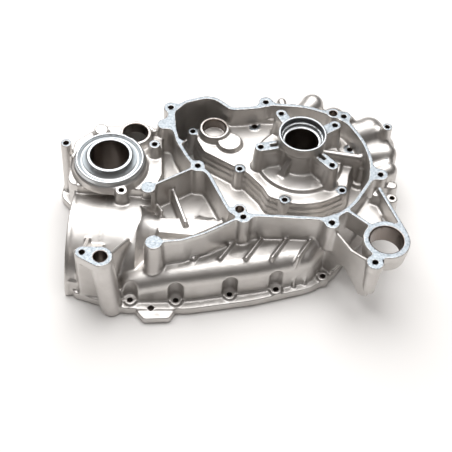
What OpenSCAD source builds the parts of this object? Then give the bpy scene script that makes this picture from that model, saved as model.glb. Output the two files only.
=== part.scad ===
// Crankcase half of a single-cylinder engine with a belt drive, one die casting.
// The parting face lies at z = 0 and the outer side faces up.
// The axis of the main bore is the Z axis. Sizes are in millimetres.

/* [Plan] */
// Length of the casting along X
plan_length = 442.6; // [425:0.1:460]
// Width of the casting along Y
plan_width = 335.5; // [320:0.1:346]

/* [Heights] */
// Top of the machined cover rim above the parting face
rim_top = 100; // [90:1:115]
// Top of the inner platform
platform_top = 70; // [62:1:80]
// Floor of the cover chamber round the platform
chamber_floor = 38; // [30:1:48]
// Floor of the open pocket between the cover rim and the neck
pocket_floor = 56; // [44:1:64]
// Top of the deck that carries the output seat
deck_top = 82; // [70:1:86]
// Thickness of the parting flange
flange_t = 12; // [8:0.5:16]
// Distance from a machined face down to the unmachined rib tops
rib_drop = 3; // [1:0.5:6]

/* [Walls] */
// Thickness of the cover rim
rim_t = 5; // [3.5:0.5:8]
// Thickness of floors and outer walls
wall = 5; // [4:0.5:7]
// Thickness of the free-standing ribs
rib_t = 4.5; // [3:0.5:7]

/* [Main boss] */
// Top of the main boss
boss_top = 122; // [112:1:135]
// Outer diameter of the collar
collar_d = 63; // [60:0.5:68]
// Height of the collar
collar_h = 11; // [6:0.5:16]
// Outer diameter of the boss below the collar
boss_d = 51; // [48:0.5:54]
// Diameter of the seal seat
seal_d = 54; // [50:0.5:56]
// Depth of the seal seat
seal_depth = 8; // [4:0.5:12]
// Diameter of the main bore
main_bore_d = 42; // [36:0.5:44]
// Height of the raised disc round the boss
disc_h = 5; // [2:0.5:8]
// Radius of the raised disc
disc_r = 55; // [50:0.5:58]
// Pitch circle diameter of the four cover lugs
lug_pcd = 108; // [100:1:116]
// Top of the cover lugs
lug_top = 108; // [100:1:116]
// Radius of a cover lug
lug_r = 7.5; // [6.5:0.25:9]

/* [Small ring] */
// Outer diameter of the small ring
small_ring_d = 39; // [36:0.5:44]
// Bore of the small ring
small_bore_d = 30; // [24:0.5:32]
// Height of the ring above the platform
small_ring_h = 11; // [6:0.5:16]
// Depth of the small bore
small_bore_depth = 15; // [10:0.5:18]

/* [Output seat] */
// Outer diameter of the turned output seat
seat_d = 87; // [80:0.5:92]
// Bore of the output seat
seat_bore_d = 48; // [40:0.5:52]
// Height of the inner hub above the rim plane
hub_rise = 5; // [2:0.5:8]
// Top of the plate that the seat stands on
seat_plate_top = 92; // [88:1:95]

/* [Barrel] */
// Outer radius of the half barrel
barrel_r = 76; // [72:0.5:80]
// Bore radius of the half barrel
barrel_bore_r = 68; // [60:0.5:70]
// Length of the barrel
barrel_len = 86; // [78:1:92]

/* [Shaft cover] */
// Top of the long half-round cover
cover_top = 60; // [54:1:68]
// Radius of its front shoulder
cover_round = 20; // [14:1:24]
// How far the cover falls from its crest to the wall behind
cover_fall = 10; // [4:1:16]
// Number of slanting ribs on the cover
cover_ribs = 5; // [1:1:6]

/* [Mounting lugs] */
// Bore of the ring on the right lug
right_bore_d = 40; // [34:0.5:42]
// Outer diameter of the ring on the right lug
right_ring_d = 57; // [52:0.5:62]
// Bore of the left lug
left_bore_d = 15.6; // [12:0.2:18]
// Outer diameter of the left lug
left_lug_d = 29; // [25:0.5:33]

/* [Bolts] */
// Diameter of the bolt holes
bolt_d = 6.4; // [5:0.1:7.5]
// Diameter of the dowel holes
dowel_d = 9.5; // [8:0.1:10.5]
// Diameter of a bolt boss on the rim
rim_boss_d = 19; // [16:0.5:22]
// Depth of the bolt holes
bolt_depth = 22; // [14:1:26]
// Radius of the hollow flare between a bolt boss and the rim
flare_r = 9; // [4:1:12]

/* [Crank chamber] */
// Radius of the round chamber that opens at the parting face
crank_r = 60; // [56:0.5:61]
// Depth of that chamber
crank_depth = 36; // [28:1:40]

/* [Hidden] */
$fn = 48;
eps = 0.01;
beyond = 400;
cast = [0.86, 0.85, 0.83];

// Places are drawn for this length and width, and spread out with the two plan sizes
drawn_length = 442.6;
drawn_width = 335.5;
function at(x, y) = [x * plan_length / drawn_length, y * plan_width / drawn_width];
function placed(list) = [for (c = list) at(c[0], c[1])];

// Rounded outlines. A corner is [x, y, radius], and its arc is cut short where an edge is too short for it.
arc_step = 12;
function unit(v) = v / norm(v);
function point(c) = at(c[0], c[1]);
function corner(a, p, b, r) =
    let (
        u = unit(a - p),
        v = unit(b - p),
        half = acos(u * v) / 2,
        reach = min(r / tan(half), 0.48 * min(norm(a - p), norm(b - p))),
        arc_r = reach * tan(half),
        centre = p + unit(u + v) * arc_r / sin(half),
        s = p + u * reach - centre,
        e = p + v * reach - centre,
        start = atan2(s[1], s[0]),
        turn = sign(cross(s, e)) * acos(unit(s) * unit(e)),
        n = max(2, ceil(abs(turn) / arc_step))
    )
    [for (i = [0 : n]) centre + arc_r * [cos(start + turn * i / n), sin(start + turn * i / n)]];
function rounded(c) =
    let (n = len(c))
    [for (i = [0 : n - 1]) each corner(point(c[(i + n - 1) % n]), point(c[i]), point(c[(i + 1) % n]), c[i][2])];

// Inner edge of the cover rim, clockwise from the back left corner
rim_edge = [
    [-166, 44, 10], [-153, 62, 16], [-120, 76, 22], [-93, 54, 14], [-56, 61, 40], [-42, 68, 20],
    [4, 69, 80], [32, 60, 60], [58, 48, 40], [80, 12, 90], [88, -20, 60], [86, -50, 24],
    [66, -88, 60], [50, -106, 24], [30, -116, 14], [-82, -119, 12], [-114, -56, 30],
    [-139, -36, 30], [-156, -6, 60], [-162, 16, 40]
];
// Bolt lugs of the cover rim
bolt_a = at(-172, 52);
bolt_b = at(-47.5, 74);
bolt_c = at(56, 57.5);
dowel_c = at(42, 62);
bolt_right = at(101, -40.5);
bolt_e = at(39, -124);
bolt_f = at(-68.7, -124.6);
dowel_f = at(-73.8, -113);
bolt_g = at(-129.6, -47);
rim_bolts = [bolt_a, bolt_b, bolt_c, bolt_right, bolt_e, bolt_f, bolt_g];
dowels = [dowel_c, dowel_f];
tab_a = at(-178, 21);

// Edge of the inner platform
platform_edge = [
    [-136, 27, 8], [-125, 6, 14], [-88, -15, 60], [-66, -27, 14], [-46, -49, 14], [-38, -64, 10],
    [-6, -75, 60], [30, -69, 60], [62, -48, 14], [66, -16, 40], [76, 10, 20], [76, 40, 20],
    [30, 66, 40], [-60, 64, 10], [-92, 56, 10], [-112, 60, 18], [-134, 50, 14]
];
platform_bolts = placed([[-141.7, 39.4], [-60, 56], [-76.5, -21.5], [-17, -68.4], [56, -46], [67, 26]]);
platform_boss_r = 7;
small_ring_at = at(-113, 39);
small_pad_at = at(-92, 21);
small_pad_r = 15.5;

// Directions of the four cover lugs round the main boss, and of those with a slot
lug_angles = [120, 37, 196, 316];
slot_angles = [196, 316];

// Output seat, its posts and the deck under it
seat_at = at(-241, -43);
post_left = at(-299, -24);
post_right = at(-187, -15.5);
post_front = at(-221, -90);
side_bore_at = at(-214, 8);
side_bore_r = 15.5;
deck_stub = at(-259, 12);
deck_edge = [
    [-292, -4, 14], [-262, 26, 14], [-196, 34, 10], [-180, 16, 10], [-174, -50, 10],
    [-182, -78, 8], [-292, -78, 14]
];

// Open pocket between the rim and the neck
disc_back = at(-188, -88);
disc_front = at(-173, -172.7);
pocket_edge = [
    [-196, 58, 10], [-166, 58, 6], [-128, -42, 6], [-72, -112, 6], [-80, -136, 6],
    [-205, -150, 6]
];

// Half barrel, neck and beam
barrel_left = at(-283, 0)[0];
barrel_y = at(0, -113)[1];
shoulder_len = 12;
shoulder_r = 62;
neck_at = [each at(-192, -117), 48];
neck_end = [each at(-150, -123), 56];
neck_r = 31;
beam_top = 70;
slot_floor = 60;

// Parting flange
parting_edge = [
    [-274, -192, 10], [-206, -211, 14], [-128, -205, 40], [-50, -186, 80], [24, -160, 60],
    [52, -136, 24], [72, -104, 40], [104, -60, 30], [124, -20, 30], [126, 44, 30], [104, 92, 30],
    [20, 112, 40], [-50, 98, 40], [-120, 96, 20], [-186, 72, 24], [-206, 48, 20], [-264, 40, 20],
    [-308, -4, 16], [-310, -40, 16], [-274, -76, 20]
];
flange_bolts = placed([[-200.4, -199], [-144.5, -195], [-79, -180.5], [-21.6, -168], [37.3, -142.5]]);
flange_tab = [[-196, -208, 4], [-142, -203, 4], [-150, -219, 5], [-181, -223, 5]];
flange_tab_bolt = at(-174, -207);
flange_boss_r = 8;
relief_r = 9.5;
relief_top = 38;

// Ground of the bulges outside the rim at the back right
back_edge = [
    [-44, 60, 10], [-48, 84, 10], [-10, 92, 20], [30, 100, 20], [94, 80, 20], [116, 46, 20],
    [114, -14, 20], [96, -54, 12], [60, 0, 20]
];

back_top = 62;
post_back = at(113, 44);
// Each bulge: start, end, radius and height of its axis
bulges = [
    [[0, 68], [16, 95], 15, 78],
    [[30, 60], [46, 82], 17, 66],
    [[60, 40], [92, 56], 20, 74],
    [[78, 30], [110, 42], 17, 62.5],
    [[84, 20], [116, 28], 13.5, 64],
    [[88, -20], [118, 4], 12, 58]
];

// Crest of the long half-round cover: x, y and how far it lies below the top
cover_front = [[-196, -180, 16], [-152, -176, 3], [-128, -172, 0], [-50, -153, 0], [8, -134, 0], [17, -118, 0]];
cover_back = placed([[-150, -134], [-90, -124], [24, -124]]);
cover_fins = placed([[0.5, -157], [14.3, -151]]);
rib_foot = at(-129, -172);
rib_pitch = at(31.8, 3.5);
rib_angle = 62;

// Mounting lugs
left_lug_at = at(-233, -199);
left_ear_at = at(-255, -194.5);
left_ear_r = 8.5;
right_lug_at = at(104.5, -144.3);
right_ear_at = at(89.6, -179.5);
right_ear_r = 10.5;
arm_boss = at(115, -73);

module slab(outline, z0, z1) {
    translate([0, 0, z0])
        linear_extrude(z1 - z0)
            polygon(outline);
}

// A post of radius r0 at its foot and r1 at its top
module post(at, r0, r1, z0, z1) {
    translate([at[0], at[1], z0])
        cylinder(h = z1 - z0, r1 = r0, r2 = r1);
}

module hole(at, d, z0, z1) {
    translate([at[0], at[1], z0])
        cylinder(h = z1 - z0, d = d);
}

// An upright rib of thickness t between two points
module rib(a, b, t, z0, z1) {
    run = b - a;
    translate([a[0], a[1], z0])
        rotate(atan2(run[1], run[0]))
            translate([0, -t / 2, 0])
                cube([norm(run), t, z1 - z0]);
}

// An upright rib whose top falls from z1 at a to z2 at b
module falling_rib(a, b, t, z0, z1, z2) {
    run = b - a;
    translate([a[0], a[1], 0])
        rotate([90, 0, atan2(run[1], run[0])])
            translate([0, 0, -t / 2])
                linear_extrude(t)
                    polygon([[0, z0], [norm(run), z0], [norm(run), z2], [0, z1]]);
}

rim_points = rounded(rim_edge);
platform_points = rounded(platform_edge);
deck_points = rounded(deck_edge);
pocket_points = rounded(pocket_edge);
parting_points = rounded(parting_edge);
back_points = rounded(back_edge);
rib_top = rim_top - rib_drop;
seat_lip = rim_top - seat_plate_top + 1;

module parting_flange() {
    slab(parting_points, 0, flange_t);
    slab(rounded(flange_tab), 0, flange_t - 2);
    post(flange_tab_bolt, 6, 5, 0, flange_t - 1);
    for (p = flange_bolts)
        post(p, flange_boss_r, flange_boss_r - 0.5, 0, flange_t + 3);
}

// Circles of the rim's bolt bosses, dowel bosses and tab
module rim_bosses(shrink) {
    for (p = rim_bolts)
        translate(p) circle(d = rim_boss_d - shrink);
    for (p = dowels)
        translate(p) circle(d = rim_boss_d - 1 - shrink);
    translate(tab_a) circle(d = rim_boss_d - 1 - shrink);
}

module cover_rim() {
    lug_foot = pocket_floor - 2;
    linear_extrude(lug_foot + 1)
        offset(r = rim_t - 0.3, $fn = 32) polygon(rim_points);
    translate([0, 0, lug_foot])
        linear_extrude(rim_top - lug_foot)
            offset(r = -flare_r) offset(r = flare_r) {
                offset(r = rim_t, $fn = 32) polygon(rim_points);
                rim_bosses(0);
            }
    rib(bolt_a, tab_a, 9, lug_foot + 1, rim_top - 8);
}

// Space inside the rim, with the platform left standing in it
module chamber() {
    difference() {
        translate([0, 0, chamber_floor])
            linear_extrude(rim_top)
                offset(r = 3) offset(r = -3)
                    difference() {
                        polygon(rim_points);
                        rim_bosses(0.6);
                    }
        slab(platform_points, 0, platform_top);
        for (i = [1 : 2])
            translate([0, 0, chamber_floor - 1])
                linear_extrude(platform_top - chamber_floor - 9 * i)
                    offset(delta = 1.5 * i) polygon(platform_points);
        for (p = platform_bolts)
            post(p, platform_boss_r + 1.5, platform_boss_r, 0, platform_top + 1);
    }
}

module cover_lug(angle) {
    reach = lug_pcd / 2;
    root = boss_d / 2 - 4;
    rotate(angle) {
        post([reach, 0], lug_r + 3, lug_r, platform_top - 1, lug_top);
        translate([root, -lug_r, lug_top - 7])
            cube([reach - root, 2 * lug_r, 7]);
        rib([root, 0], [reach, 0], 2 * lug_r - 2, platform_top - 1, lug_top - 2);
    }
}

module main_boss() {
    disc_z = platform_top + disc_h;
    neck_z = boss_top - collar_h - 8;
    post([0, 0], disc_r + 2, disc_r, platform_top - 2, disc_z);
    translate([0, 0, disc_z - 1])
        rotate_extrude()
            polygon([
                [0, 0], [boss_d / 2 + 7, 0], [boss_d / 2 + 3, 3], [boss_d / 2 + 1, 8], [boss_d / 2, 16],
                [boss_d / 2, neck_z - disc_z], [collar_d / 2 - 0.5, neck_z - disc_z + 7],
                [collar_d / 2, neck_z - disc_z + 9], [collar_d / 2 - 1, boss_top - disc_z + 1],
                [0, boss_top - disc_z + 1]
            ]);
    for (a = lug_angles)
        cover_lug(a);
    rotate(235)
        falling_rib([boss_d / 2 - 4, 0], [boss_d / 2 + 16, 0], 8, platform_top, neck_z, disc_z);
}

module side_rib() {
    root = [boss_d / 2 - 2, 5];
    end = at(79, -1);
    rib(root, end, 7, chamber_floor - 2, platform_top + 15);
    translate([root[0], root[1], platform_top + 15])
        rotate([0, 90, atan2(end[1] - root[1], end[0] - root[0])])
            cylinder(h = norm(end - root) + 1, r = 4.2);
    rib(at(-58, 65), at(-34, 67), 5, platform_top - 1, platform_top + 6);
    rib(at(-161, -2), at(-150, -8), 3, chamber_floor - 2, rim_top - 1);
    post(at(81, -5), 9, 8, chamber_floor - 2, chamber_floor + 6);
    post(at(81, -5), 4, 2.5, chamber_floor, platform_top);
}

module main_boss_cuts() {
    hole([0, 0], main_bore_d, -1, boss_top + 1);
    hole([0, 0], seal_d - 5, boss_top - seal_depth - 5, boss_top + 1);
    hole([0, 0], seal_d, boss_top - seal_depth, boss_top + 1);
    for (a = lug_angles)
        rotate(a)
            hole([lug_pcd / 2, 0], bolt_d, lug_top - bolt_depth, lug_top + 1);
    for (a = slot_angles)
        rotate(a)
            translate([boss_d / 2 + 6, -2.2, lug_top - 20])
                cube([10, 4.4, 21]);
}

module small_ring() {
    top = platform_top + small_ring_h;
    post(small_ring_at, small_ring_d / 2 + 1, small_ring_d / 2, platform_top - 1, top);
    post(small_pad_at, small_pad_r + 1, small_pad_r, platform_top - 1, top - 4);
}

module output_seat() {
    post(seat_at, seat_d / 2 + 4, seat_d / 2 + 3, deck_top - 1, seat_plate_top);
    rib(seat_at, post_front, 15, deck_top - 1, seat_plate_top);
    translate([seat_at[0], seat_at[1], seat_plate_top - 1])
        rotate_extrude($fn = 96)
            polygon([
                [seat_bore_d / 2 - 2, 0], [seat_d / 2 - 1, 0], [seat_d / 2, 3], [seat_d / 2, seat_lip - 1],
                [seat_d / 2 - 1, seat_lip], [seat_d / 2 - 3.5, seat_lip], [seat_d / 2 - 5, seat_lip - 3.5],
                [seat_d / 2 - 9, seat_lip - 4.5], [seat_bore_d / 2 + 6, seat_lip + hub_rise - 2.5],
                [seat_bore_d / 2 + 5, seat_lip + hub_rise], [seat_bore_d / 2 - 2, seat_lip + hub_rise]
            ]);
    post(post_left, 8.5, 6.8, 0, rim_top);
    rib(post_left, seat_at, 6, flange_t, rim_top - 30);
    post(post_right, 10, 7, deck_top - 2, rim_top);
    post(post_front, 10, 7.5, deck_top - 12, seat_plate_top + 1);
    post(side_bore_at, side_bore_r + 6, side_bore_r + 5, deck_top - 1, rim_top - 6);
    post(deck_stub, 10, 9, deck_top - 1, rim_top - 8);
    rib(at(-204, 14), tab_a, rib_t, pocket_floor - 2, rim_top - 10);
}

module output_seat_cuts() {
    hole(seat_at, seat_bore_d, -1, rim_top + hub_rise + 1);
    for (p = [post_left, post_right])
        hole(p, bolt_d, rim_top - bolt_depth, rim_top + 1);
    hole(post_front, bolt_d, seat_plate_top + 1 - bolt_depth, rim_top + 1);
    hole(side_bore_at, 2 * side_bore_r, deck_top - 20, rim_top + 1);
}

module lying_cylinder(x, y, len, r0, r1) {
    translate([x, y, 0])
        rotate([0, 90, 0])
            cylinder(h = len, r1 = r0, r2 = r1, $fn = 96);
}

module barrel() {
    lying_cylinder(barrel_left, barrel_y, barrel_len, barrel_r, barrel_r);
    lying_cylinder(barrel_left + barrel_len - eps, barrel_y, shoulder_len, barrel_r - 2, shoulder_r);
    lying_cylinder(barrel_left + 42, barrel_y, 1.6, barrel_r + 0.8, barrel_r + 0.8);
    lying_cylinder(barrel_left, barrel_y, 5, barrel_r + 1.2, barrel_r + 1.2);
    translate([barrel_left + 4, barrel_y + 33, deck_top - 12])
        cube([34, 14, 13]);
}

// Trumpet-shaped neck between the barrel and the beam
module neck() {
    run = neck_end - neck_at;
    len = norm(run);
    flat = norm([run[0], run[1]]);
    translate(neck_at)
        rotate([0, atan2(flat, run[2]), atan2(run[1], run[0])])
            rotate_extrude()
                polygon([
                    [0, -8], [neck_r + 3, -8], [neck_r, 0], [neck_r - 6, 6], [neck_r - 10.5, 14],
                    [neck_r - 13.5, 24], [neck_r - 16, len - 4], [neck_r - 17, len], [0, len]
                ]);
    slab(placed([[-172, -110], [-172, -134], [-128, -135], [-92, -112], [-92, -107]]), pocket_floor - 6, beam_top);
}

module rib_frame() {
    post(disc_back, 9.5, 10, pocket_floor - 20, rib_top);
    post(disc_front, 14, 11.2, flange_t, rib_top);
    rib(disc_back, bolt_g, rib_t, pocket_floor - 4, rib_top);
    rib(at(-160, -68), at(-138, -124), rib_t, pocket_floor - 4, pocket_floor + 24);
    rib(at(-184, -80), at(-169, -102), rib_t - 1, pocket_floor - 4, pocket_floor + 16);
    falling_rib(at(-104, -106), at(-126, -96), rib_t, pocket_floor - 4, pocket_floor + 14, pocket_floor + 1);
    rib(disc_front, at(-139, -166), rib_t, flange_t, rib_top);
    rib(at(-140, -166.3), at(-113, -153), rib_t, flange_t, rib_top);
    rib(at(-114, -153.5), bolt_f + [-6, -2], rib_t, flange_t, rib_top);
    rib(disc_back, at(-196, -130), rib_t, flange_t, beam_top);
    slab(placed([[-162, -168], [-138, -164], [-80, -128], [-84, -110], [-168, -130]]), flange_t, slot_floor);
}

// Convex cover: a row of spheres along its crest, drawn down to lower posts at the wall behind
module shaft_cover(inset) {
    r = cover_round - inset;
    hull() {
        for (p = cover_front)
            translate(point(p)) {
                cylinder(h = cover_top - cover_round - p[2], r = r, $fn = 32);
                translate([0, 0, cover_top - cover_round - p[2]])
                    sphere(r = r, $fn = 32);
            }
        for (p = cover_back)
            translate(p)
                cylinder(h = cover_top - cover_fall - inset, r = 4, $fn = 16);
    }
}

// Slanting rib on the cover, its front end ground off; the first one is shorter
module cover_rib(i) {
    len = i == 0 ? 29 : 44;
    translate([rib_foot[0] + i * rib_pitch[0], rib_foot[1] + i * rib_pitch[1], cover_top - cover_fall - 3])
        rotate([90, 0, rib_angle])
            translate([0, 0, -rib_t / 2 + 0.5])
                linear_extrude(rib_t - 1)
                    polygon([[0, 0], [len, 0], [len, cover_fall + 6], [6, cover_fall + 7]]);
}

module cover_reliefs() {
    for (p = flange_bolts) {
        hole(p, 2 * relief_r, flange_t + 3, relief_top);
        translate([p[0], p[1], relief_top])
            sphere(r = relief_r);
    }
}

module left_lug() {
    hull() {
        post(left_lug_at + [1, -1], left_lug_d / 2 - 0.3, left_lug_d / 2 - 0.3, rim_top - 8, rim_top - 6);
        post(left_lug_at + [10, -4], left_lug_d / 2 - 1, left_lug_d / 2 - 1, 0, 2);
    }
    translate([0, 0, rim_top - 14])
        linear_extrude(14)
            hull() {
                translate(left_lug_at) circle(r = left_lug_d / 2);
                translate(left_ear_at) circle(r = left_ear_r);
            }
    slab(placed([[-268, -182], [-262, -195], [-238, -196], [-232, -176]]), 2, rim_top - 12);
    slab(placed([[-281, -160], [-279, -186], [-236, -192], [-236, -160]]), 1, flange_t + 14);
    falling_rib(at(-246, -180), at(-246, -150), 20, 30, rim_top - 12, 60);
    falling_rib(at(-224, -193), at(-203, -142), rib_t, 40, rim_top - 4, barrel_r - 5);
    falling_rib(at(-255, -190), at(-256, -150), rib_t, 40, rim_top - 4, barrel_r - 6);
}

// Upright web from the rim lug to the ear, cut away in an arch below
module bracket_web() {
    run = right_ear_at - bolt_e;
    len = norm(run);
    translate([bolt_e[0], bolt_e[1], 0])
        rotate([90, 0, atan2(run[1], run[0])])
            translate([0, 0, -rib_t / 2])
                linear_extrude(rib_t)
                    polygon([
                        [0, 0], [8, 0], [0.32 * len, 40], [0.42 * len, 46], [0.52 * len, 42],
                        [0.84 * len, 22], [len, 30], [len, rim_top - 4], [0.5 * len, rim_top - 16], [0, rim_top - 6]
                    ]);
}

module right_lug() {
    ring_z = rim_top - 28;
    to_ear = right_ear_at - right_lug_at;
    post(right_lug_at, right_ring_d / 2 - 2, right_ring_d / 2 - 0.6, ring_z, rim_top - 6);
    post(right_ear_at, right_ear_r - 3, right_ear_r - 0.6, rim_top - 56, rim_top - 6);
    rib(right_ear_at, right_lug_at, 14, ring_z + 1, rim_top - 6);
    translate([right_lug_at[0], right_lug_at[1], rim_top - 12])
        linear_extrude(12)
            union() {
                circle(d = right_ring_d);
                translate(to_ear) circle(r = right_ear_r);
                rotate(atan2(to_ear[1], to_ear[0]))
                    translate([0, -8])
                        square([norm(to_ear), 16]);
            }
    rib(right_lug_at + [24, 12], at(98, -62), rib_t, ring_z, rim_top - 1);
    rib(right_lug_at + [-18, 20], at(60, -104), rib_t, ring_z, rim_top - 1);
    bracket_web();
    slab(placed([[60, -104], [88, -124], [112, -118], [94, -58], [80, -66]]), ring_z - 6, ring_z + 4);
    post(arm_boss, 8, 7, ring_z, rim_top - 6);
    rib(arm_boss, at(92, -64), 10, ring_z, rim_top - 8);
    rib(at(96, -48), at(117, -43), 8, ring_z - 10, rim_top - 16);
    post(at(118, -43), 8, 6.5, ring_z - 10, rim_top - 15);
}

// Bulge of radius r that leaves the rim at a and ends at b in a slightly wider domed column
module bulge(a, b, r, z) {
    run = b - a;
    dome_r = r + 0.8;
    translate([a[0], a[1], z])
        rotate([0, 90, atan2(run[1], run[0])])
            cylinder(h = norm(run), r = r);
    translate([b[0], b[1], 0])
        rotate_extrude()
            polygon([
                [0, 0], [dome_r + 2, 0],
                for (t = [0 : 15 : 75]) [dome_r * cos(t), z + dome_r * sin(t)],
                [0, z + dome_r]
            ]);
    rib(a, b, 1.8 * r, 0, z);
}

module back_bulges() {
    for (b = bulges)
        bulge(point(b[0]), point(b[1]), b[2], b[3]);
    bulge(at(-22, 72), at(-26, 86), 6, 88);
    bulge(at(34, 64), at(62, 58), 11, 86);
    slab(back_points, 0, back_top);
}

// Hollows below the bulges, kept clear of the rim
module back_hollows() {
    difference() {
        union() {
            for (b = bulges)
                rib(point(b[0]), point(b[1]), 1.5 * (b[2] - wall), -1, b[3]);
            lower_space(back_points, back_top);
        }
        translate([0, 0, chamber_floor - wall])
            linear_extrude(rim_top)
                offset(r = rim_t + 1, $fn = 32) polygon(rim_points);
        post(post_back, 9, 9, 0, rim_top);
    }
}

module lower_space(outline, top) {
    translate([0, 0, -1])
        linear_extrude(top - wall + 1)
            offset(delta = -wall) polygon(outline);
}

module underside_cavities() {
    bearing_z = platform_top - wall + 1;
    difference() {
        union() {
            lower_space(rim_points, chamber_floor);
            lower_space(platform_points, platform_top);
        }
        post([0, 0], main_bore_d / 2 + 12, main_bore_d / 2 + 14, crank_depth, bearing_z);
        for (a = [30 : 60 : 330])
            rotate(a)
                rib([main_bore_d / 2 + 4, 0], [crank_r + 14, 0], rib_t, crank_depth + 2, bearing_z);
        difference() {
            hole([0, 0], 2 * (crank_r + wall), -1, crank_depth);
            hole([0, 0], 2 * crank_r, -2, crank_depth + 1);
        }
        post(small_ring_at, small_bore_d / 2 + 6, small_bore_d / 2 + 7, platform_top - 26, bearing_z);
    }
    difference() {
        union() {
            lower_space(deck_points, deck_top);
            lower_space(pocket_points, pocket_floor);
        }
        post(seat_at, seat_bore_d / 2 + 8, seat_bore_d / 2 + 10, 14, deck_top);
        lying_cylinder(barrel_left, barrel_y, barrel_len, barrel_r, barrel_r);
        lying_cylinder(barrel_left + barrel_len - 1, barrel_y, shoulder_len, barrel_r, shoulder_r);
    }
    back_hollows();
    lying_cylinder(barrel_left - 1, barrel_y, barrel_len - 4, barrel_bore_r, barrel_bore_r);
    difference() {
        shaft_cover(wall);
        for (p = flange_bolts)
            post(p, relief_r + 4, relief_r + 4, -1, relief_top + relief_r + 4);
    }
}

module chain_opening() {
    difference() {
        translate([0, 0, chamber_floor - wall - 1])
            linear_extrude(wall + 3)
                intersection() {
                    offset(delta = -1) polygon(rim_points);
                    polygon(placed([[-170, 0], [-84, 30], [-84, 90], [-170, 90]]));
                }
        linear_extrude(platform_top)
            offset(delta = 4) polygon(platform_points);
    }
}

module drillings() {
    for (p = rim_bolts)
        hole(p, bolt_d, rim_top - bolt_depth, rim_top + 1);
    for (p = dowels)
        hole(p, dowel_d, rim_top - 12, rim_top + 1);
    for (p = platform_bolts)
        hole(p, bolt_d, platform_top - 16, platform_top + 2);
    for (p = flange_bolts)
        hole(p, bolt_d, -1, 30);
    hole(flange_tab_bolt, bolt_d, -1, flange_t + 1);
    hole(small_ring_at, small_bore_d, platform_top + small_ring_h - small_bore_depth, rim_top);
    hole(left_lug_at, left_bore_d, rim_top - 30, rim_top + 1);
    hole(left_ear_at, bolt_d, rim_top - bolt_depth, rim_top + 1);
    hole(right_lug_at, right_bore_d, 0, rim_top + 1);
    hole(right_ear_at, bolt_d, rim_top - bolt_depth, rim_top + 1);
    hole(post_back, bolt_d - 1, rim_top - bolt_depth, rim_top + 1);
    hole(arm_boss, bolt_d - 1, rim_top - bolt_depth, rim_top + 1);
}

// The casting without its main boss, hollowed from both sides
module shell() {
    difference() {
        union() {
            cover_rim();
            parting_flange();
            slab(deck_points, 0, deck_top);
            slab(pocket_points, 0, pocket_floor);
            output_seat();
            barrel();
            neck();
            rib_frame();
            difference() {
                shaft_cover(0);
                cover_reliefs();
            }
            left_lug();
            right_lug();
            back_bulges();
            post(post_back, 10, 6.5, 0, rim_top);
        }
        underside_cavities();
        chamber();
        chain_opening();
    }
}

module crankcase_half() {
    color(cast)
        difference() {
            union() {
                shell();
                main_boss();
                small_ring();
                side_rib();
                for (i = [0 : cover_ribs - 1])
                    cover_rib(i);
                for (p = cover_fins)
                    falling_rib(p + [0, 6], p + [0, -5], rib_t - 2, flange_t - 1, cover_top - cover_round, flange_t + 8);
            }
            main_boss_cuts();
            output_seat_cuts();
            drillings();
            translate([-beyond, -beyond, -beyond])
                cube([2 * beyond, 2 * beyond, beyond]);
        }
}

crankcase_half();
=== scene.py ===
"""A crankcase half of a single-cylinder engine: one shot-blasted die casting with machined faces and bores.

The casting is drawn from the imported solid. Its inner corners get the rolled radii that a die leaves, and the
machined faces and bores are cut afterwards, as on the real part, so their edges stay crisp.
"""

import math

import bpy
import numpy as np
import openvdb
from mathutils import Matrix, Vector


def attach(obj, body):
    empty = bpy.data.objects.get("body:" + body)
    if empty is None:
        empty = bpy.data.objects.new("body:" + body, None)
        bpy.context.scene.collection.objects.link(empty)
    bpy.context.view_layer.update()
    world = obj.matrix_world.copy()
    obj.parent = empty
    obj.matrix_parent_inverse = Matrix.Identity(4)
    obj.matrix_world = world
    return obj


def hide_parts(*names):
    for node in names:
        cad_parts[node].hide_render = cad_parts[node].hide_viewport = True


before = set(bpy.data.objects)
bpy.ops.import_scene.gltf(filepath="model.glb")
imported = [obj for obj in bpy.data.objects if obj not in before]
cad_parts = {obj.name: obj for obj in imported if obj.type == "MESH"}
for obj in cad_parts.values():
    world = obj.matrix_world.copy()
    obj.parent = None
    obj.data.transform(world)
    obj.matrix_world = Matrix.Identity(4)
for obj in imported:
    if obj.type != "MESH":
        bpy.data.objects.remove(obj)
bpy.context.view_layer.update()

MM = 0.001

# All sizes below are in mm. The main bore's axis is the frame's Z axis; the output seat's axis is at SEAT.

SEAT = (-241.0, -43.0)

# Heights of the machined planes
RIM_TOP = 100
LUG_TOP = 108
COLLAR_TOP = 122
PLATFORM_TOP = 71
SEAT_TOP = 105

# Radii in which the machined planes lie: the collar and the cover lugs round the main bore, and the output seat
COLLAR_ZONE = 36
LUG_ZONE = 66
SEAT_ZONE = 45
PLATFORM_ZONE = 170

# Round machined bores: x, y, radius, lowest z, mouth z, chamfer
BORES = [
    (0, 0, 21, 10, COLLAR_TOP, 0.0),
    (0, 0, 24.5, 109, COLLAR_TOP, 0.0),
    (0, 0, 27, 114, COLLAR_TOP, 1.2),
    (-241, -43, 24, 8, SEAT_TOP, 1.0),
    (-113, 39, 15, 66, 81, 1.2),
    (-214, 8, 15.5, 62, 94, 1.0),
    (104.5, -144.3, 20, 40, RIM_TOP, 1.2),
    (-233, -199, 7.8, 70, RIM_TOP, 0.8),
    (113, 44, 2.7, 78, RIM_TOP, 0.5),
    (115, -73, 2.7, 78, 94, 0.5),
    (42, 62, 4.75, 88, RIM_TOP, 0.6),
    (-73.8, -113, 4.75, 88, RIM_TOP, 0.6),
]
SMALL_BORE_R = 10

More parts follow.
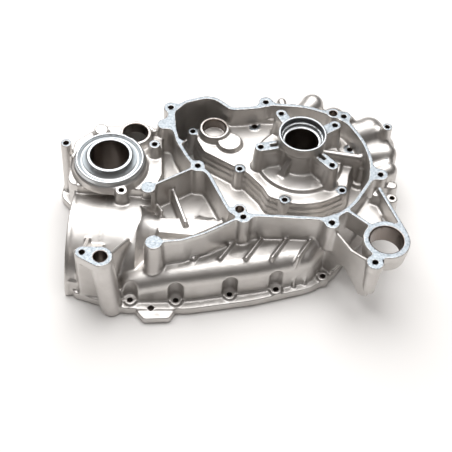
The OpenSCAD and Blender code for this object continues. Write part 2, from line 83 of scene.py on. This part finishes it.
# Bolt holes: the height of the mouth, the depth, and the places x, y that share them
BOLT_R = 3.2
BOLT_CHAMFER = 0.5
LUG_BOLT_CIRCLE_R = 54
LUG_ANGLES = (120, 37, 196, 316)
BOLT_ROWS = [
    (RIM_TOP, 22, [(-172, 52), (-47.5, 74), (56, 57.5), (101, -40.5), (39, -124), (-68.7, -124.6), (-129.6, -47),
                   (-299, -24), (-187, -15.5), (-255, -194.5), (89.6, -179.5)]),
    (93, 22, [(-221, -90)]),
    (PLATFORM_TOP, 16, [(-141.7, 39.4), (-60, 56), (-76.5, -21.5), (-17, -68.4), (56, -46), (67, 26)]),
    (15, 16, [(-200.4, -199), (-144.5, -195), (-79, -180.5), (-21.6, -168), (37.3, -142.5)]),
    (11, 12, [(-174, -207)]),
    (LUG_TOP, 22, [(LUG_BOLT_CIRCLE_R * math.cos(math.radians(a)), LUG_BOLT_CIRCLE_R * math.sin(math.radians(a)))
                   for a in LUG_ANGLES]),
]
BOLTS = [(x, y, z, depth) for z, depth, places in BOLT_ROWS for x, y in places]

# Slots in two of the cover lugs: angles of their rays, ends along the ray, half width, floor
SLOT_ANGLES = (196, 316)
SLOT_FROM, SLOT_TO, SLOT_HALF, SLOT_FLOOR = 31.5, 41.5, 2.2, 88

# Radii of the die: the ball that rolls the inner corners, and the rounding of the cast edges
FILLET = 1.8
EDGE = 0.7
# Regions with larger blends: lowest corner, highest corner, radius and width of the fade
SOFT_REGIONS = [((72, -10, 2), (175, 125, 99), 9, 10)]
# The barrel's end at the neck: lowest and highest corner of the box, y of the axis and radius
BARREL_END = ((-211, -150, 58), (-184, -82, 96), -113, 76)

# The machining: stock is drawn on from STOCK_BELOW under a plane to STOCK_ABOVE over it, a plug is PLUG_MORE wider
# than its bore, and cutters run on past the mouth by OVERRUN
STOCK_BELOW = 2
STOCK_ABOVE = 4
PLUG_MORE = 0.6
OVERRUN = 2

# The grid: the size of a cell, spare cells round the part, mm round a cutter's window, and the triangles kept
VOXEL = 0.8
PAD = 8
MARGIN = 3
FACES_WANTED = 190000


# The casting's surface


def node_triangles(name):
    """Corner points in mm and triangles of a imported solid, with its loose corners merged."""
    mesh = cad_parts[name].data
    co = np.empty(len(mesh.vertices) * 3, np.float32)
    mesh.vertices.foreach_get("co", co)
    mesh.calc_loop_triangles()
    tri = np.empty(len(mesh.loop_triangles) * 3, np.int32)
    mesh.loop_triangles.foreach_get("vertices", tri)
    key, back = np.unique(np.round(co.reshape(-1, 3) / MM, 3), axis=0, return_inverse=True)
    return key.astype(np.float32), back.reshape(-1)[tri].reshape(-1, 3).astype(np.uint32)


def level_set(points, triangles, quads, half_width):
    """Signed distance in mm on a grid of VOXEL, negative inside, known to half_width cells on each side."""
    return openvdb.FloatGrid.createLevelSetFromPolygons(
        points, triangles=triangles, quads=quads,
        transform=openvdb.createLinearTransform(voxelSize=VOXEL), halfWidth=half_width)


def offset_copy(grid, distance, half_width):
    """The level set of the surface at that distance."""
    return level_set(*grid.convertToPolygons(isovalue=distance), half_width)


class Field:
    """The signed distance as one array, with the coordinates of its cells in mm."""

    def __init__(self, low, high):
        self.first = np.floor(np.array(low) / VOXEL).astype(int) - PAD
        self.shape = tuple(int(v) for v in np.ceil(np.array(high) / VOXEL).astype(int) + PAD - self.first)
        self.x, self.y, self.z = (
            ((np.arange(n) + o) * VOXEL).astype(np.float32) for n, o in zip(self.shape, self.first))
        self.d = None

    def take(self, grid):
        """Reads the distances of a grid."""
        self.d = np.empty(self.shape, np.float32)
        grid.copyToArray(self.d, ijk=tuple(int(v) for v in self.first))

    def to_grid(self, width):
        """A grid of the distances, cut off at width."""
        grid = openvdb.FloatGrid(width)
        grid.transform = openvdb.createLinearTransform(voxelSize=VOXEL)
        grid.copyFromArray(np.clip(self.d, -width, width), ijk=tuple(int(v) for v in self.first))
        grid.gridClass = openvdb.GridClass.LEVEL_SET
        return grid

    def window(self, x, y, r, z0, z1):
        """The part of the array round an upright cylinder, the offsets from its axis, and its heights."""
        reach = r + MARGIN
        lo = np.floor(np.array((x - reach, y - reach, z0 - MARGIN)) / VOXEL).astype(int) - self.first
        hi = np.ceil(np.array((x + reach, y + reach, z1 + MARGIN)) / VOXEL).astype(int) - self.first
        w = tuple(slice(max(a, 0), min(b, n)) for a, b, n in zip(lo, hi, self.shape))
        return w, self.x[w[0]][:, None, None] - x, self.y[w[1]][None, :, None] - y, self.z[w[2]][None, None, :]

    def carve(self, w, wall, z, z0, z1):
        """Takes out of a window what lies inside the wall, from z0 to past the mouth z1."""
        self.d[w] = np.maximum(self.d[w], -np.maximum(wall, np.maximum(z0 - z, z - z1 - OVERRUN)))

    def cut(self, x, y, r, z0, z1, chamfer):
        """Takes an upright cylinder out, with a 45 degree chamfer at its mouth z1."""
        w, dx, dy, z = self.window(x, y, r + chamfer, z0, z1)
        self.carve(w, np.hypot(dx, dy) - r - np.clip(z - (z1 - chamfer), 0, chamfer), z, z0, z1)

    def cut_slot(self, angle, r0, r1, half, z0, z1):
        """Takes an upright slot out that runs along a ray from the main bore, from r0 to r1."""
        c, s = math.cos(math.radians(angle)), math.sin(math.radians(angle))
        w, dx, dy, z = self.window(c * (r0 + r1) / 2, s * (r0 + r1) / 2, (r1 - r0) / 2 + half, z0, z1)
        along, across = dx * c + dy * s, dy * c - dx * s
        self.carve(w, np.maximum(np.abs(along) - (r1 - r0) / 2, np.abs(across) - half), z, z0, z1)

    def plug(self, x, y, r, z0, z1):
        """Fills a bore again from z0 to z1."""
        w, dx, dy, z = self.window(x, y, r, z0, z1)
        self.d[w] = np.minimum(self.d[w], np.maximum(np.hypot(dx, dy) - r, np.maximum(z0 - z, z - z1)))

    def soften(self, low, high, radius, fade):
        """Rolls a large ball over the outside of one region, and fades that out within fade of its borders."""
        lo = np.maximum(np.floor(np.array(low) / VOXEL).astype(int) - self.first, 0)
        hi = np.minimum(np.ceil(np.array(high) / VOXEL).astype(int) - self.first, self.shape)
        w = tuple(slice(a, b) for a, b in zip(lo, hi))
        part = Field(low, high)
        part.first, part.shape = self.first + lo, tuple(int(v) for v in hi - lo)
        part.d = self.d[w].copy()
        for side in (part.d, part.d.transpose(1, 0, 2), part.d.transpose(2, 0, 1)):
            side[:2] = side[-2:] = VOXEL
        width = radius / VOXEL + 4
        grid = level_set(*part.to_grid(3 * VOXEL).convertToPolygons(isovalue=0), width)
        part.take(offset_copy(offset_copy(grid, radius, width), -radius, 4))
        near = [np.minimum(np.arange(n), n - 1 - np.arange(n)) * VOXEL / fade for n in part.shape]
        share = np.clip(near[0], 0, 1)[:, None, None] * np.clip(near[1], 0, 1)[None, :, None]
        share = share * np.clip(near[2], 0, 1)[None, None, :]
        self.d[w] += share * np.minimum(part.d - self.d[w], 0)

    def turn_down(self, low, high, axis_y, radius):
        """Takes off, in one box, what stands out of a cylinder whose axis runs along X at height 0."""
        w = tuple(slice(*np.searchsorted(axis, (a, b))) for axis, a, b in zip((self.x, self.y, self.z), low, high))
        from_axis = np.hypot(self.y[w[1]][:, None] - axis_y, self.z[w[2]][None, :])
        self.d[w] = np.maximum(self.d[w], (from_axis - radius)[None, :, :])

    def level(self, z):
        """The first layer of cells at or above the height z."""
        return int(np.searchsorted(self.z, z - 1e-4))

    def add_stock(self, keep, z_from, z_to):
        """Draws the section at z_from up to z_to where keep says so: the metal that machining takes off."""
        k0 = self.level(z_from)
        section = self.d[:, :, k0]
        for k in range(k0 + 1, self.level(z_to + MARGIN)):
            self.d[:, :, k] = np.where(keep, np.maximum(section, self.z[k] - z_to), self.d[:, :, k])

    def face_off(self, keep, z_face):
        """Mills the stock off at z_face where keep says so."""
        k0 = self.level(z_face - STOCK_ABOVE)
        over = (self.z[k0:] - z_face)[None, None, :]
        self.d[:, :, k0:] = np.where(keep[:, :, None], np.maximum(self.d[:, :, k0:], over), self.d[:, :, k0:])

    def sample(self, q):
        """The distance at array positions q, blended from the eight cells round each."""
        base = np.clip(np.floor(q).astype(int), 0, np.array(self.shape) - 2)
        f = np.clip(q - base, 0, 1)
        total = np.zeros(len(q))
        for c in range(8):
            off = np.array(((c >> 2) & 1, (c >> 1) & 1, c & 1))
            i = base + off
            total += np.prod(np.where(off, f, 1 - f), axis=1) * self.d[i[:, 0], i[:, 1], i[:, 2]]
        return total

    def normals(self, p):
        """Outward unit normals at points p: the slope of the distance over about 1 mm."""
        q = p / VOXEL - self.first
        slope = np.stack([self.sample(q + s) - self.sample(q - s) for s in 0.7 * np.eye(3)], axis=1)
        return slope / np.maximum(np.linalg.norm(slope, axis=1, keepdims=True), 1e-9)


def casting_field(name):
    """The casting with rolled corners and machined faces, as a field of signed distance."""
    points, triangles = node_triangles(name)
    field = Field(points.min(0), points.max(0))
    field.take(level_set(points, triangles, None, FILLET / VOXEL + 4))
    from_main = np.hypot(field.x[:, None], field.y[None, :])
    from_seat = np.hypot(field.x[:, None] - SEAT[0], field.y[None, :] - SEAT[1])
    faced = [
        ((from_main > LUG_ZONE) & (from_seat > SEAT_ZONE), RIM_TOP),
        ((from_main > COLLAR_ZONE) & (from_main <= LUG_ZONE), LUG_TOP),
        (from_main <= COLLAR_ZONE, COLLAR_TOP),
    ]

    # Before the ball rolls: the small holes are closed up to just below their mouths, and the planes carry stock
    for x, y, z, depth in BOLTS:
        field.plug(x, y, BOLT_R + PLUG_MORE, max(z - depth - 1, 0), z - 0.5)
    for x, y, r, z0, z1, chamfer in BORES:
        if r < SMALL_BORE_R:
            field.plug(x, y, r + PLUG_MORE, z0 - 1, z1 - 0.5)
    for zone, top in faced:
        field.add_stock(zone, top - STOCK_BELOW, top + STOCK_ABOVE)

    # The die's radii: out by the fillet and back rolls the inner corners, in by the edge and back the outer ones
    grid = offset_copy(field.to_grid(FILLET + 4 * VOXEL), FILLET, (FILLET + EDGE) / VOXEL + 4)
    grid = offset_copy(grid, -FILLET - EDGE, EDGE / VOXEL + 3)
    field.take(offset_copy(grid, EDGE, 4))
    for region in SOFT_REGIONS:
        field.soften(*region)
    field.turn_down(*BARREL_END)

    # The machining
    for zone, top in faced:
        field.face_off(zone, top)
    for bore in BORES:
        field.cut(*bore)
    for x, y, z, depth in BOLTS:
        field.cut(x, y, BOLT_R, z - depth, z, BOLT_CHAMFER)
    for angle in SLOT_ANGLES:
        field.cut_slot(angle, SLOT_FROM, SLOT_TO, SLOT_HALF, SLOT_FLOOR, LUG_TOP)
    return field


def mesh_from_field(name, field):
    """A mesh object on the zero surface of the field, thinned where it is flat."""
    p, t, q = field.to_grid(4).convertToPolygons(isovalue=0, adaptivity=0.02)
    faces = np.vstack([t, q[:, [0, 1, 2]], q[:, [0, 2, 3]]])[:, ::-1]
    mesh = bpy.data.meshes.new(name)
    mesh.vertices.add(len(p))
    mesh.vertices.foreach_set("co", (p * MM).astype(np.float32).ravel())
    mesh.loops.add(faces.size)
    mesh.loops.foreach_set("vertex_index", faces.astype(np.int32).ravel())
    mesh.polygons.add(len(faces))
    mesh.polygons.foreach_set("loop_start", np.arange(0, faces.size, 3, dtype=np.int32))
    mesh.update(calc_edges=True)
    mesh.validate()
    obj = bpy.data.objects.new(name, mesh)
    bpy.context.scene.collection.objects.link(obj)
    thin = obj.modifiers.new("thin", "DECIMATE")
    thin.ratio = min(1.0, FACES_WANTED / len(faces))
    thin.use_collapse_triangulate = True
    lean = bpy.data.meshes.new_from_object(obj.evaluated_get(bpy.context.evaluated_depsgraph_get()))
    obj.modifiers.clear()
    obj.data = lean
    lean.name = name
    bpy.data.meshes.remove(mesh)
    return obj


def corners(mesh):
    """The corner points of a mesh, in mm."""
    co = np.empty(len(mesh.vertices) * 3, np.float32)
    mesh.vertices.foreach_get("co", co)
    return co.reshape(-1, 3) / MM


def smooth_by_field(obj, field):
    """Gives every corner the normal of the field, so that thinning leaves no facets."""
    mesh = obj.data
    mesh.shade_smooth()
    mesh.normals_split_custom_set_from_vertices(field.normals(corners(mesh).astype(float)).tolist())


# The casting's material slots
CAST, MILLED, BORED, TURNED_MAIN, TURNED_SEAT = range(5)
# How far a face's centre may lie from its plane or bore to count as machined: the edges' roundings are wider
PLANE_NEAR = 0.4
PLATFORM_NEAR = 0.5
BORE_NEAR = 0.7
# Where the turned steps are: their radii and the height above which they lie
MAIN_STEPS_R, MAIN_STEPS_FLAT_R, MAIN_STEPS_FLOOR = 28.5, 33.5, 108.5
SEAT_STEPS_FROM_R, SEAT_STEPS_FLOOR = 24.3, 92.5


def finish_of_faces(mesh):
    """The material slot of each face, from where it lies and which way it looks."""
    centre = np.empty(len(mesh.polygons) * 3, np.float32)
    normal = np.empty(len(mesh.polygons) * 3, np.float32)
    mesh.polygons.foreach_get("center", centre)
    mesh.polygons.foreach_get("normal", normal)
    x, y, z = (centre.reshape(-1, 3) / MM).T
    tilt = normal[2::3]
    up = tilt > 0.9
    from_main = np.hypot(x, y)
    from_seat = np.hypot(x - SEAT[0], y - SEAT[1])
    finish = np.full(len(z), CAST, np.int32)
    finish[up & (np.abs(z - RIM_TOP) < PLANE_NEAR) & (from_main > LUG_ZONE)] = MILLED
    finish[up & (np.abs(z - LUG_TOP) < PLANE_NEAR) & (from_main < LUG_ZONE)] = MILLED
    finish[up & (np.abs(z - PLATFORM_TOP) < PLATFORM_NEAR) & (from_main < PLATFORM_ZONE)] = MILLED
    finish[(tilt < -0.9) & (np.abs(z) < PLANE_NEAR)] = MILLED
    for bx, by, r, z0, z1, chamfer in BORES:
        off = np.abs(np.hypot(x - bx, y - by) - r - chamfer / 2)
        finish[(off < BORE_NEAR + chamfer / 2) & (z > z0) & (z < z1 + 0.5)] = BORED
    for bx, by, z1, depth in BOLTS:
        finish[(np.hypot(x - bx, y - by) < BOLT_R + 1) & (z > z1 - depth - 1) & (z < z1 - 0.3)] = BORED
    finish[(z > MAIN_STEPS_FLOOR) & (from_main < MAIN_STEPS_FLAT_R) & (up | (from_main < MAIN_STEPS_R))] = TURNED_MAIN
    finish[(z > SEAT_STEPS_FLOOR) & (from_seat < SEAT_ZONE) & (from_seat > SEAT_STEPS_FROM_R)] = TURNED_SEAT
    return finish


# Finishes


def linear(hex_colour):
    """An sRGB hex value as linear red, green, blue and alpha."""
    rgb = [int(hex_colour[i:i + 2], 16) / 255 for i in (1, 3, 5)]
    return [c / 12.92 if c <= 0.04045 else ((c + 0.055) / 1.055) ** 2.4 for c in rgb] + [1.0]


def add(tree, kind, links=None, stops=(), **settings):
    """One node: settings by attribute or input name, links from input name to a source socket, stops of a ramp."""
    node = tree.nodes.new(kind)
    for key, value in settings.items():
        if hasattr(node, key):
            setattr(node, key, value)
        else:
            node.inputs[key.replace("_", " ")].default_value = value
    for key, source in (links or {}).items():
        tree.links.new(source, node.inputs[key])
    for k, (place, colour) in enumerate(stops):
        mark = node.color_ramp.elements[k] if k < 2 else node.color_ramp.elements.new(place)
        mark.position, mark.color = place, linear(colour)
    return node


def metal(name, roughness):
    """A bare metal's material, its node tree and its shader."""
    material = bpy.data.materials.new(name)
    material.use_nodes = True
    shader = material.node_tree.nodes["Principled BSDF"]
    shader.inputs["Metallic"].default_value = 1.0
    shader.inputs["Roughness"].default_value = roughness
    return material, material.node_tree, shader


def blasted_aluminium():
    """Die-cast aluminium, shot blasted: matt warm silver with the peening of the shot and faint flow shades."""
    m, tree, shader = metal("blasted_cast_aluminium", 0.43)
    place = add(tree, "ShaderNodeTexCoord").outputs["Object"]
    shade = add(tree, "ShaderNodeTexNoise", {"Vector": place}, Scale=22.0, Detail=6.0, Roughness=0.6)
    tone = add(tree, "ShaderNodeValToRGB", {"Fac": shade.outputs["Fac"]}, [(0.3, "#c6c2be"), (0.7, "#d8d5d2")])
    tree.links.new(tone.outputs["Color"], shader.inputs["Base Color"])
    # The dimples of 0.6 mm shot are drawn 1 mm wide, so that the picture can hold them
    peen = add(tree, "ShaderNodeTexNoise", {"Vector": place}, Scale=900.0, Detail=2.0)
    wave = add(tree, "ShaderNodeTexNoise", {"Vector": place}, Scale=120.0, Detail=3.0)
    total = add(tree, "ShaderNodeMath", {0: peen.outputs["Fac"], 1: wave.outputs["Fac"]}, operation="ADD")
    bump = add(tree, "ShaderNodeBump", {"Height": total.outputs["Value"]}, Strength=0.6, Distance=0.0001)
    tree.links.new(bump.outputs["Normal"], shader.inputs["Normal"])
    return m


def milled_aluminium():
    """Face-milled aluminium: cooler and smoother than the casting, mottled where the cutter lifted grain."""
    m, tree, shader = metal("milled_aluminium", 0.34)
    place = add(tree, "ShaderNodeTexCoord").outputs["Object"]
    shade = add(tree, "ShaderNodeTexNoise", {"Vector": place}, Scale=330.0, Detail=4.0, Roughness=0.7)
    tone = add(tree, "ShaderNodeValToRGB", {"Fac": shade.outputs["Fac"]}, [(0.35, "#696f74"), (0.65, "#9ba1a6")])
    tree.links.new(tone.outputs["Color"], shader.inputs["Base Color"])
    grain = add(tree, "ShaderNodeMapRange", {"Value": shade.outputs["Fac"]}, To_Min=0.26, To_Max=0.44)
    tree.links.new(grain.outputs["Result"], shader.inputs["Roughness"])
    return m


def bored_aluminium_painted_shade():
    """Aluminium bored or drilled, with painted shade and a painted reflection in its colour: darker, as the inside of
    a hole lies in shade, and warm from what it mirrors inside the hole.
    """
    m, tree, shader = metal("bored_aluminium_painted_shade", 0.3)
    # Painted shade and painted reflection: a darker, warmer base colour than the bare metal, for the shade inside the
    # holes and the walls they mirror
    shader.inputs["Base Color"].default_value = linear("#8f8680")
    return m


def turned_aluminium(name, centre):
    """Aluminium turned on a lathe: bright, with tool rings round the bore, drawn 1.5 mm apart to be seen."""
    m, tree, shader = metal(name, 0.36)
    place = add(tree, "ShaderNodeTexCoord").outputs["Object"]
    at = add(tree, "ShaderNodeMapping", {"Vector": place}, Location=(-centre[0] * MM, -centre[1] * MM, 0))
    rings = add(tree, "ShaderNodeTexWave", {"Vector": at.outputs["Vector"]}, wave_type="RINGS",
                rings_direction="Z", Scale=33.0, Distortion=0.4, Detail=2.0)
    tone = add(tree, "ShaderNodeValToRGB", {"Fac": rings.outputs["Fac"]}, [(0.0, "#abafb2"), (1.0, "#d2d5d7")])
    tree.links.new(tone.outputs["Color"], shader.inputs["Base Color"])
    bump = add(tree, "ShaderNodeBump", {"Height": rings.outputs["Fac"]}, Strength=0.25, Distance=0.0001)
    tree.links.new(bump.outputs["Normal"], shader.inputs["Normal"])
    return m


# The casting

field = casting_field("crankcase_half")
casting = mesh_from_field("crankcase_casting", field)
smooth_by_field(casting, field)
casting.data.materials.clear()
for finish in (blasted_aluminium(), milled_aluminium(), bored_aluminium_painted_shade(),
               turned_aluminium("turned_main_boss", (0, 0)), turned_aluminium("turned_output_seat", SEAT)):
    casting.data.materials.append(finish)
casting.data.polygons.foreach_set("material_index", finish_of_faces(casting.data))
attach(casting, "root")
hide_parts("crankcase_half")


# The floor, so wide that its edge lies at the horizon, and half a millimetre below the casting


def white_card():
    """Matt white card: it shows the casting's own soft shadow."""
    m = bpy.data.materials.new("white_card")
    m.use_nodes = True
    shader = m.node_tree.nodes["Principled BSDF"]
    shader.inputs["Base Color"].default_value = linear("#f4f2f0")
    shader.inputs["Roughness"].default_value = 0.9
    return m


def disc(name, centre, radius, z, turns=96):
    """A flat round sheet: points at equal angles on a circle."""
    a = np.linspace(0, 2 * np.pi, turns, endpoint=False)
    rim = np.stack([centre[0] + radius * np.cos(a), centre[1] + radius * np.sin(a), np.full(turns, z)], axis=1)
    mesh = bpy.data.meshes.new(name)
    mesh.from_pydata(rim.tolist(), [], [list(range(turns))])
    obj = bpy.data.objects.new(name, mesh)
    bpy.context.scene.collection.objects.link(obj)
    return obj


floor = disc("floor", (-0.089, -0.05), 20.0, -0.0005)
floor.data.materials.append(white_card())


# Light: a large soft lamp above and behind, in a room whose walls are warm grey


def room(stops, strength):
    """World light by height: each stop is the sine of the height and its colour."""
    world = bpy.data.worlds.new("studio")
    bpy.context.scene.world = world
    world.use_nodes = True
    tree = world.node_tree
    place = add(tree, "ShaderNodeTexCoord").outputs["Generated"]
    height = add(tree, "ShaderNodeSeparateXYZ", {"Vector": place}).outputs["Z"]
    tone = add(tree, "ShaderNodeValToRGB", {"Fac": height}, stops)
    light = tree.nodes["Background"]
    tree.links.new(tone.outputs["Color"], light.inputs["Color"])
    light.inputs["Strength"].default_value = strength


def lamp(name, at, look_at, size, watts):
    """A round white area lamp, turned to look at a point."""
    data = bpy.data.lights.new(name, "AREA")
    data.shape = "DISK"
    data.size = size
    data.energy = watts
    obj = bpy.data.objects.new(name, data)
    bpy.context.scene.collection.objects.link(obj)
    obj.location = at
    obj.rotation_euler = (Vector(look_at) - Vector(at)).to_track_quat("-Z", "Y").to_euler()


room([(0.0, "#1e1a18"), (0.3, "#302b28"), (0.65, "#736e6b"), (0.9, "#d6d4d3")], 0.9)
lamp("softbox", (-0.5, 1.35, 3.2), (-0.09, -0.05, 0.05), 4.6, 185)


# The camera, fitted to the photograph: 51.4 degrees down, turned 4 degrees about its axis

AIM = Vector((-0.089, -0.141, 0.100))
DOWN = math.radians(51.4)
ROLL = math.radians(4.0)
DISTANCE = 1.260
FOCAL_PX = 1050.0
PHOTO_PX = 452.0
SENSOR_MM = 36.0

look = Vector((0, math.cos(DOWN), -math.sin(DOWN)))
level_right = Vector((1, 0, 0))
level_up = level_right.cross(look)
right = math.cos(ROLL) * level_right + math.sin(ROLL) * level_up
up = math.cos(ROLL) * level_up - math.sin(ROLL) * level_right
camera_data = bpy.data.cameras.new("camera")
camera_data.sensor_width = SENSOR_MM
camera_data.lens = FOCAL_PX * SENSOR_MM / PHOTO_PX
camera = bpy.data.objects.new("camera", camera_data)
bpy.context.scene.collection.objects.link(camera)
turn = Matrix((right, up, -look)).transposed().to_4x4()
camera.matrix_world = Matrix.Translation(AIM - DISTANCE * look) @ turn
bpy.context.scene.camera = camera
bpy.context.scene.view_settings.view_transform = "Standard"
